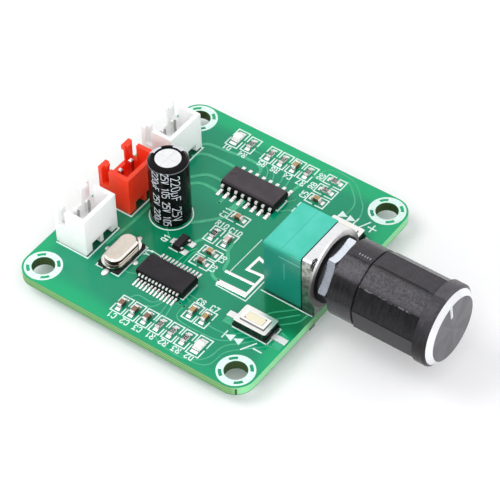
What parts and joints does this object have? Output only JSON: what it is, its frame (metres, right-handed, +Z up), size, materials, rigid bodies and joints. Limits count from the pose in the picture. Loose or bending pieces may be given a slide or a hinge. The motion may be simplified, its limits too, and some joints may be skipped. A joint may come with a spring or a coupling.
{
  "type": "audio amplifier board",
  "caption": "Small rectangular circuit board with two-pin sockets, capacitor, chips, crystal, push buttons and a volume control with a long black knob.",
  "frame": {"origin": "centre of the mounting-hole rectangle, on the board's top face", "axes": "+X to the right seen from the knob's side, +Y towards the sockets, +Z up out of the board's component side; the knob's axis runs along Y"},
  "size_m": [0.045, 0.0627, 0.0164],
  "materials": {
    "solder_mask": "gloss",
    "white_nylon": "satin",
    "red_nylon": "satin",
    "aluminium": "satin",
    "black_sleeve": "gloss",
    "black_rubber": "matte",
    "moulding_compound": "matte",
    "black_plastic": "matte",
    "nickel": "satin",
    "ceramic": "matte",
    "resistor_glaze": "gloss",
    "lamp_white": "satin",
    "beige_plastic": "satin",
    "teal_plastic": "satin",
    "zinc": "satin",
    "bright_steel": "bright",
    "dark_steel": "satin",
    "black_anodised": "satin",
    "tinned_metal": "satin"
  },
  "bodies": {
    "board": {"amplifier_chip": "moulding_compound", "amplifier_chip_leads": "tinned_metal", "capacitor_bung": "black_rubber", "capacitor_can": "aluminium", "capacitor_leads": "tinned_metal", "capacitor_sleeve": "black_sleeve", "chip_capacitor_1": "ceramic", "chip_capacitor_10": "ceramic", "chip_capacitor_11": "ceramic", "chip_capacitor_2": "ceramic", "chip_capacitor_3": "ceramic", "chip_capacitor_4": "ceramic", "chip_capacitor_5": "ceramic", "chip_capacitor_6": "ceramic", "chip_capacitor_7": "ceramic", "chip_capacitor_8": "ceramic", "chip_capacitor_9": "ceramic", "chip_resistor_1": "resistor_glaze", "chip_resistor_10": "resistor_glaze", "chip_resistor_2": "resistor_glaze", "chip_resistor_3": "resistor_glaze", "chip_resistor_4": "resistor_glaze", "chip_resistor_5": "resistor_glaze", "chip_resistor_6": "resistor_glaze", "chip_resistor_7": "resistor_glaze", "chip_resistor_8": "resistor_glaze", "chip_resistor_9": "resistor_glaze", "control_case_front": "teal_plastic", "control_case_rear": "teal_plastic", "control_lock_ring": "dark_steel", "control_nut": "bright_steel", "control_plate": "zinc", "control_terminals": "tinned_metal", "control_washer": "bright_steel", "crystal_base": "black_plastic", "crystal_can": "nickel", "crystal_leads": "tinned_metal", "left_socket": "white_nylon", "left_socket_pins": "tinned_metal", "left_switch_base": "black_plastic", "left_switch_frame": "bright_steel", "left_switch_terminals": "tinned_metal", "link_lamp": "lamp_white", "middle_socket": "red_nylon", "middle_socket_pins": "tinned_metal", "pcb": "solder_mask", "power_lamp": "lamp_white", "radio_chip": "moulding_compound", "radio_chip_leads": "tinned_metal", "right_socket": "white_nylon", "right_socket_pins": "tinned_metal", "right_switch_base": "black_plastic", "right_switch_frame": "bright_steel", "right_switch_terminals": "tinned_metal", "transistor": "moulding_compound", "transistor_leads": "tinned_metal"},
    "rotor": {"control_shaft": "aluminium", "knob": "black_anodised"},
    "left_plunger": {"left_button": "beige_plastic"},
    "right_plunger": {"right_button": "beige_plastic"}
  },
  "joints": [
    {"name": "volume_turn", "type": "hinge", "parent": "board", "child": "rotor", "pos_m": [0, -0.0188, 0.0066], "axis": [0, 1, 0], "range_deg": [-141.4, 158.6]},
    {"name": "left_button_press", "type": "slide", "parent": "board", "child": "left_plunger", "axis": [0, 0, -1], "range_m": [0, 0.00025], "stiffness_N_per_m": 200},
    {"name": "right_button_press", "type": "slide", "parent": "board", "child": "right_plunger", "axis": [0, 0, -1], "range_m": [0, 0.00025], "stiffness_N_per_m": 200}
  ]
}
